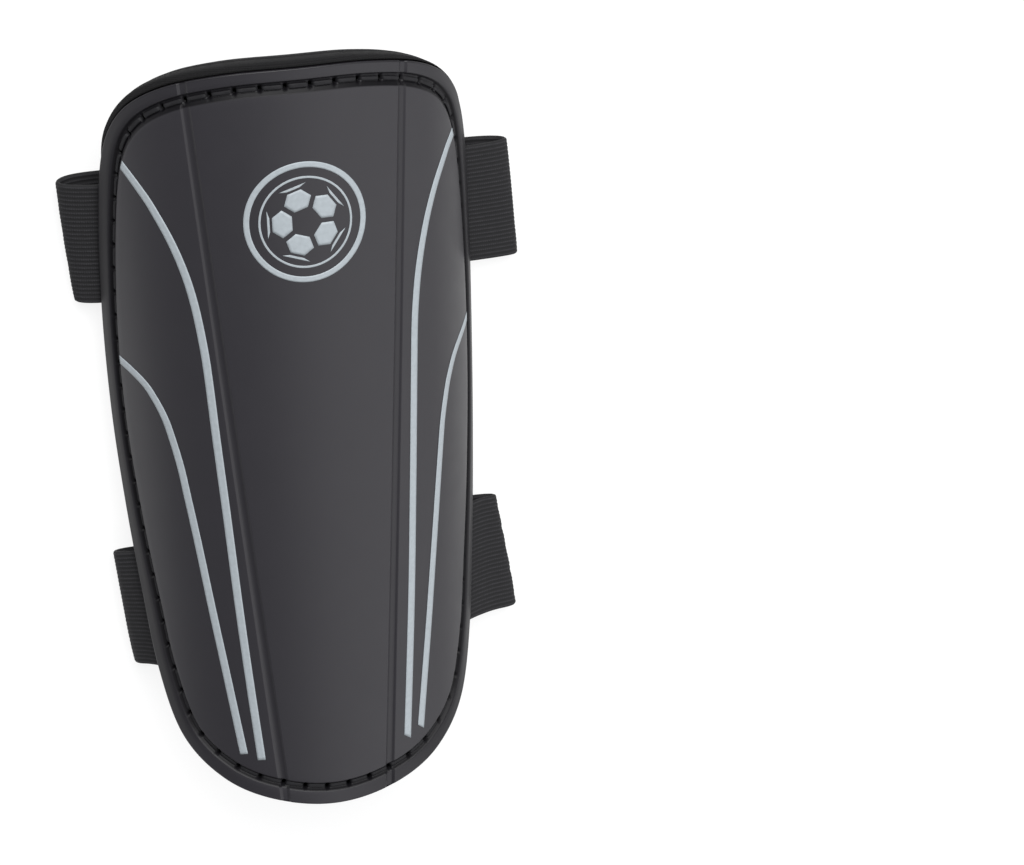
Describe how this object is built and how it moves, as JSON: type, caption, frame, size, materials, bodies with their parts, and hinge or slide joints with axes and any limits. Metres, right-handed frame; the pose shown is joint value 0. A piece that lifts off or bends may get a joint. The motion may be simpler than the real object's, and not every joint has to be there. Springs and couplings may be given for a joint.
{
  "type": "football shin guard",
  "caption": "Curved football shin guard: a stitched plastic shell on a padded backing, with elastic straps that fold round and close behind the calf.",
  "frame": {"origin": "middle of the underside of the whole guard, on the surface that it lies on", "axes": "+Y towards the guard's upper end, below the knee; +Z out of the shell's front; +X to the right of the front view"},
  "size_m": [0.1288, 0.2196, 0.0416],
  "materials": {
    "shell": "satin charcoal moulded plastic",
    "foam_backing": "black brushed knit over foam",
    "elastic": "black ribbed woven elastic",
    "patch": "black woven patch",
    "hook": "black hook tape"
  },
  "bodies": {
    "root": {"shell": "shell", "foam_backing": "foam_backing", "upper_strap_outer": "elastic", "upper_strap_inner": "elastic", "lower_strap_outer": "elastic", "lower_strap_inner": "elastic", "closure_patch": "patch", "hook_tape": "hook"}
  },
  "joints": []
}
